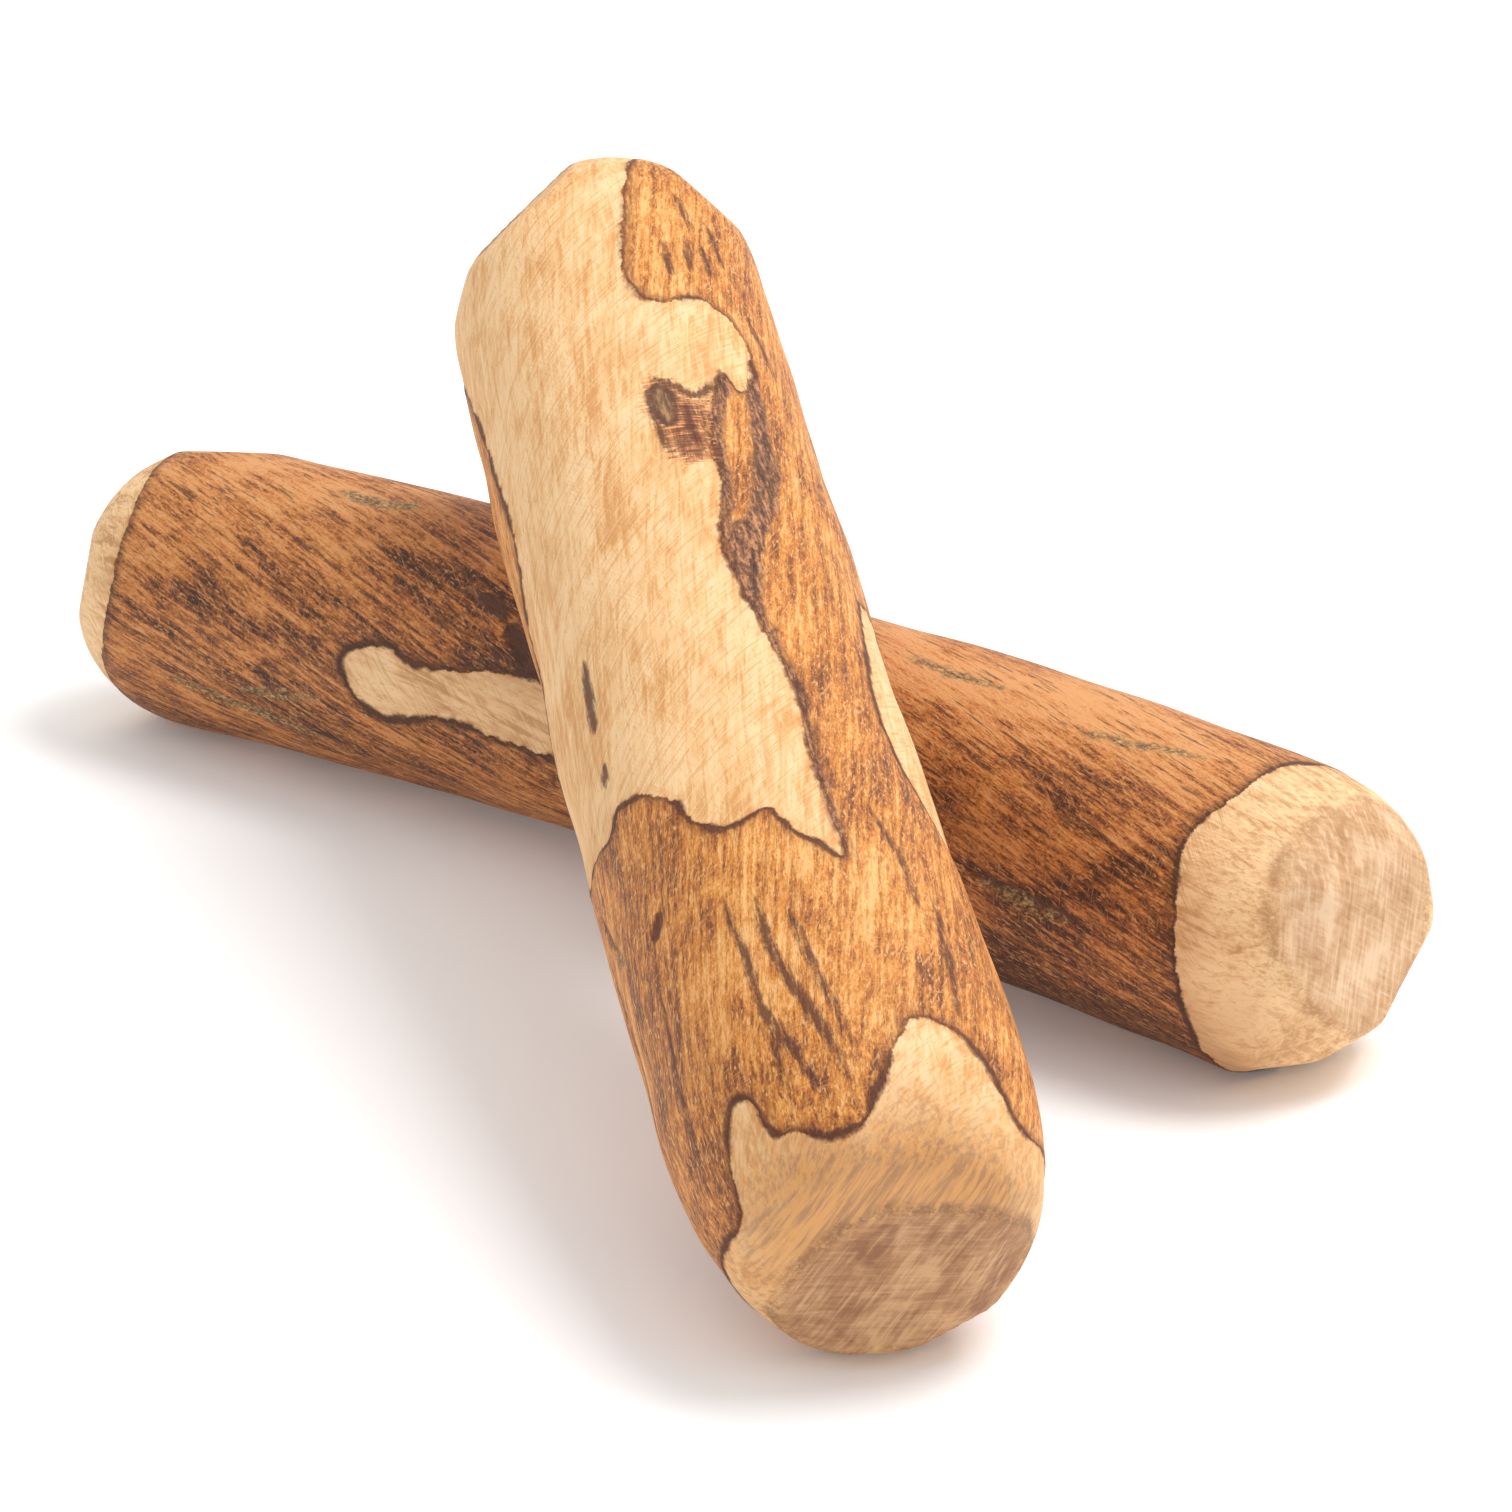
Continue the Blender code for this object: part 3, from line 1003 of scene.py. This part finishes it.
def bark_over(g, grain, palette, noises, carved, bark):
    """Bark over carved wood, with a burnt fringe and a dark line of uneven width between them. Also
    says where the bark and the line are."""
    edge = g.add(g.number("bark"), g.sway(noises.wander, 1.2), g.sway(noises.fray, 0.8))
    burn = g.times(g.fade(edge, -2.0, 0.0), g.fade(noises.wander, 0.42, 0.62, 0.1, 0.9))
    carved = g.mix(g.times(burn, 0.45), carved, palette.bark_glow)
    scorch = g.times(g.fade(edge, 0.0, 2.2, 1, 0), g.fade(noises.strands, 0.35, 0.6, 0.2, 0.8))
    bark = g.mix(scorch, bark, palette.bark_dark)
    is_bark = g.fade(edge, -0.1, 0.12)
    colour = g.mix(is_bark, carved, bark)
    breadth = g.fade(g.noise(grain, 0.16, detail=1.0), 0.35, 0.65, 0.0, 0.55)
    beside_line = g.math("SUBTRACT", g.off(edge, 0.2), breadth)
    strength = g.fade(g.number("faint"), 0.0, 1.0, 0.85, 0.1)
    line = g.times(g.fade(beside_line, -0.25, 0.35, 1.0, 0.0), strength)
    return g.mix(line, colour, palette.line), is_bark, line


def reddish_stain(g, grain, noises, colour):
    """A patch combed into hairs across the grain."""
    hairs = g.noise(g.stretch(grain, 2.4, 0.2, 0.2), 1.2, detail=2.0)
    stain = g.fade(g.add(g.number("stain"), g.sway(hairs, 7.0)), -0.5, 0.8)
    stain_colour = g.ramp(g.add(g.times(hairs, 0.5), g.times(noises.strands, 0.5)), STAIN_STOPS)
    return g.mix(g.times(stain, 0.9), colour, stain_colour)


def dark_band(g, noises, colour):
    """A band of darker bark with ragged edges."""
    band = g.fade(g.add(g.number("band"), g.sway(noises.strands, 2.6)), -0.3, 0.5)
    band_colour = g.ramp(g.add(g.times(noises.strands, 0.6), g.times(noises.fray, 0.4)), BAND_STOPS)
    return g.mix(g.times(band, 0.92), colour, band_colour)


def ringed_knot(g, noises, colour):
    """A dark ring round a paler middle."""
    eye = g.add(g.number("eye"), g.sway(noises.wander, 1.6))
    colour = g.mix(g.fade(eye, -1.0, -0.4, 0, 0.85), colour, KNOT_RING)
    middle = g.mix(g.fade(noises.strands, 0.38, 0.6), KNOT_DARK, KNOT_LIGHT)
    return g.mix(g.fade(eye, -0.2, 0.6, 0, 0.8), colour, middle)


def dark_marks(g, palette, noises, colour):
    """Ragged dark strokes. Also says where they are."""
    ragged = g.add(g.number("mark"), g.sway(noises.strands, 2.0), g.sway(noises.fray, 0.8))
    marks = g.fade(ragged, -0.5, 0.3)
    return g.mix(g.times(marks, 0.88), colour, palette.line), marks


def lichen_flecks(g, noises, colour):
    """Crumbly grey and yellow flecks."""
    growth = g.add(g.number("lichen"), g.sway(noises.wander, 2.4), g.sway(noises.fray, 2.0))
    flecks = g.fade(growth, -0.4, 0.4)
    return g.mix(g.times(flecks, 0.75), colour, g.ramp(noises.fray, LICHEN_STOPS))


def wood(name, palette):
    """Carved wood and bark, then what lies on them, from the widest mark to the finest."""
    g = Graph(name)
    grain = g.vector("grain")
    noises = shared_noises(g, grain)
    carved, carved_height = carved_wood(g, grain, palette, noises)
    bark, bark_height = bark_skin(g, grain, palette)
    colour, is_bark, line = bark_over(g, grain, palette, noises, carved, bark)
    colour = reddish_stain(g, grain, noises, colour)
    colour = dark_band(g, noises, colour)
    colour = ringed_knot(g, noises, colour)
    colour, marks = dark_marks(g, palette, noises, colour)
    colour = lichen_flecks(g, noises, colour)
    g.feed(g.shader.inputs["Base Color"], colour)

    sheen = g.fade(is_bark, 0, 1, CARVED_ROUGHNESS, BARK_ROUGHNESS)
    roughness = g.add(g.times(bark_height, 0.12), g.times(line, 0.1), sheen)
    g.feed(g.shader.inputs["Roughness"], roughness)
    g.shader.inputs["Specular IOR Level"].default_value = WOOD_SPECULAR

    skin_height = g.blend(is_bark, carved_height, bark_height)
    height = g.add(skin_height, g.times(line, -0.8), g.times(marks, -0.5))
    bump = g.node("ShaderNodeBump")
    bump.inputs["Strength"].default_value = BUMP_STRENGTH
    bump.inputs["Distance"].default_value = BUMP_DISTANCE
    g.feed(bump.inputs["Height"], height)
    g.feed(g.shader.inputs["Normal"], bump.outputs[0])
    return g.material


def floor_material():
    """White and matt, with a faint glow that keeps the shadows pale."""
    g = Graph("floor")
    g.shader.inputs["Base Color"].default_value = FLOOR_COLOUR
    g.shader.inputs["Roughness"].default_value = FLOOR_ROUGHNESS
    g.shader.inputs["Emission Color"].default_value = WHITE
    g.shader.inputs["Emission Strength"].default_value = FLOOR_GLOW
    g.shader.inputs["Specular IOR Level"].default_value = FLOOR_SPECULAR
    return g.material


# ---------------------------------------------------------------------------------------------
# Floor, light and camera, in metres and degrees
# ---------------------------------------------------------------------------------------------

CAMERA_AZIMUTH = 40.82
CAMERA_ELEVATION = 20.92
CAMERA_DISTANCE = 0.9036
CAMERA_AIM = (-0.0336, 0.0767, 0.0)
SENSOR_WIDTH = 36.0
LENS = 162.45
NEAREST_SEEN = 0.05

FLOOR_SIZE = 12.0
FLOOR_DROP = 0.0002
WORLD_LIGHT = 0.8

# The lamp's azimuth is counted from the camera's, towards its right.
KEY_AIM = (0.0, 0.0, 0.04)
KEY_AZIMUTH = 98.0
KEY_ELEVATION = 62.0
KEY_DISTANCE = 0.9
KEY_SIZE = 0.5
KEY_POWER = 6.2


def outward(azimuth, elevation):
    """Unit vector towards something seen at that azimuth from the object. 0 is towards -Y."""
    a, e = math.radians(azimuth), math.radians(elevation)
    return Vector((math.sin(a) * math.cos(e), -math.cos(a) * math.cos(e), math.sin(e)))


def point_at(obj, place, target):
    """Puts a lamp or a camera in its place and aims it."""
    obj.location = place
    obj.rotation_euler = (target - place).to_track_quat("-Z", "Y").to_euler()


def make_floor():
    mesh = bpy.data.meshes.new("floor")
    half = FLOOR_SIZE / 2
    corners = [(-half, -half, 0), (half, -half, 0), (half, half, 0), (-half, half, 0)]
    mesh.from_pydata(corners, [], [(0, 1, 2, 3)])
    mesh.materials.append(floor_material())
    floor = bpy.data.objects.new("floor", mesh)
    floor.location.z = -FLOOR_DROP
    bpy.context.scene.collection.objects.link(floor)


def make_light():
    world = bpy.data.worlds.new("studio")
    bpy.context.scene.world = world
    world.use_nodes = True
    background = world.node_tree.nodes["Background"]
    background.inputs["Color"].default_value = WHITE
    background.inputs["Strength"].default_value = WORLD_LIGHT
    data = bpy.data.lights.new("key", "AREA")
    data.size = KEY_SIZE
    data.energy = KEY_POWER
    key = bpy.data.objects.new("key", data)
    bpy.context.scene.collection.objects.link(key)
    aim = Vector(KEY_AIM)
    azimuth = CAMERA_AZIMUTH + KEY_AZIMUTH
    point_at(key, aim + outward(azimuth, KEY_ELEVATION) * KEY_DISTANCE, aim)


def make_camera():
    data = bpy.data.cameras.new("camera")
    data.sensor_width = SENSOR_WIDTH
    data.lens = LENS
    data.clip_start = NEAREST_SEEN
    camera = bpy.data.objects.new("camera", data)
    bpy.context.scene.collection.objects.link(camera)
    aim = Vector(CAMERA_AIM)
    point_at(camera, aim + outward(CAMERA_AZIMUTH, CAMERA_ELEVATION) * CAMERA_DISTANCE, aim)
    bpy.context.scene.camera = camera


make_clave(
    name="lower_stick",
    node_name="lower_clave",
    body="lower",
    pattern=LOWER_PATTERN,
    points_towards=(1, 0, 0),
    seed=4,
    material=wood("lower_wood", LOWER_PALETTE),
)
make_clave(
    name="upper_stick",
    node_name="upper_clave",
    body="upper",
    pattern=UPPER_PATTERN,
    points_towards=(0, 0, 1),
    seed=9,
    material=wood("upper_wood", UPPER_PALETTE),
)
make_floor()
make_light()
make_camera()
bpy.context.scene.view_settings.view_transform = "Standard"
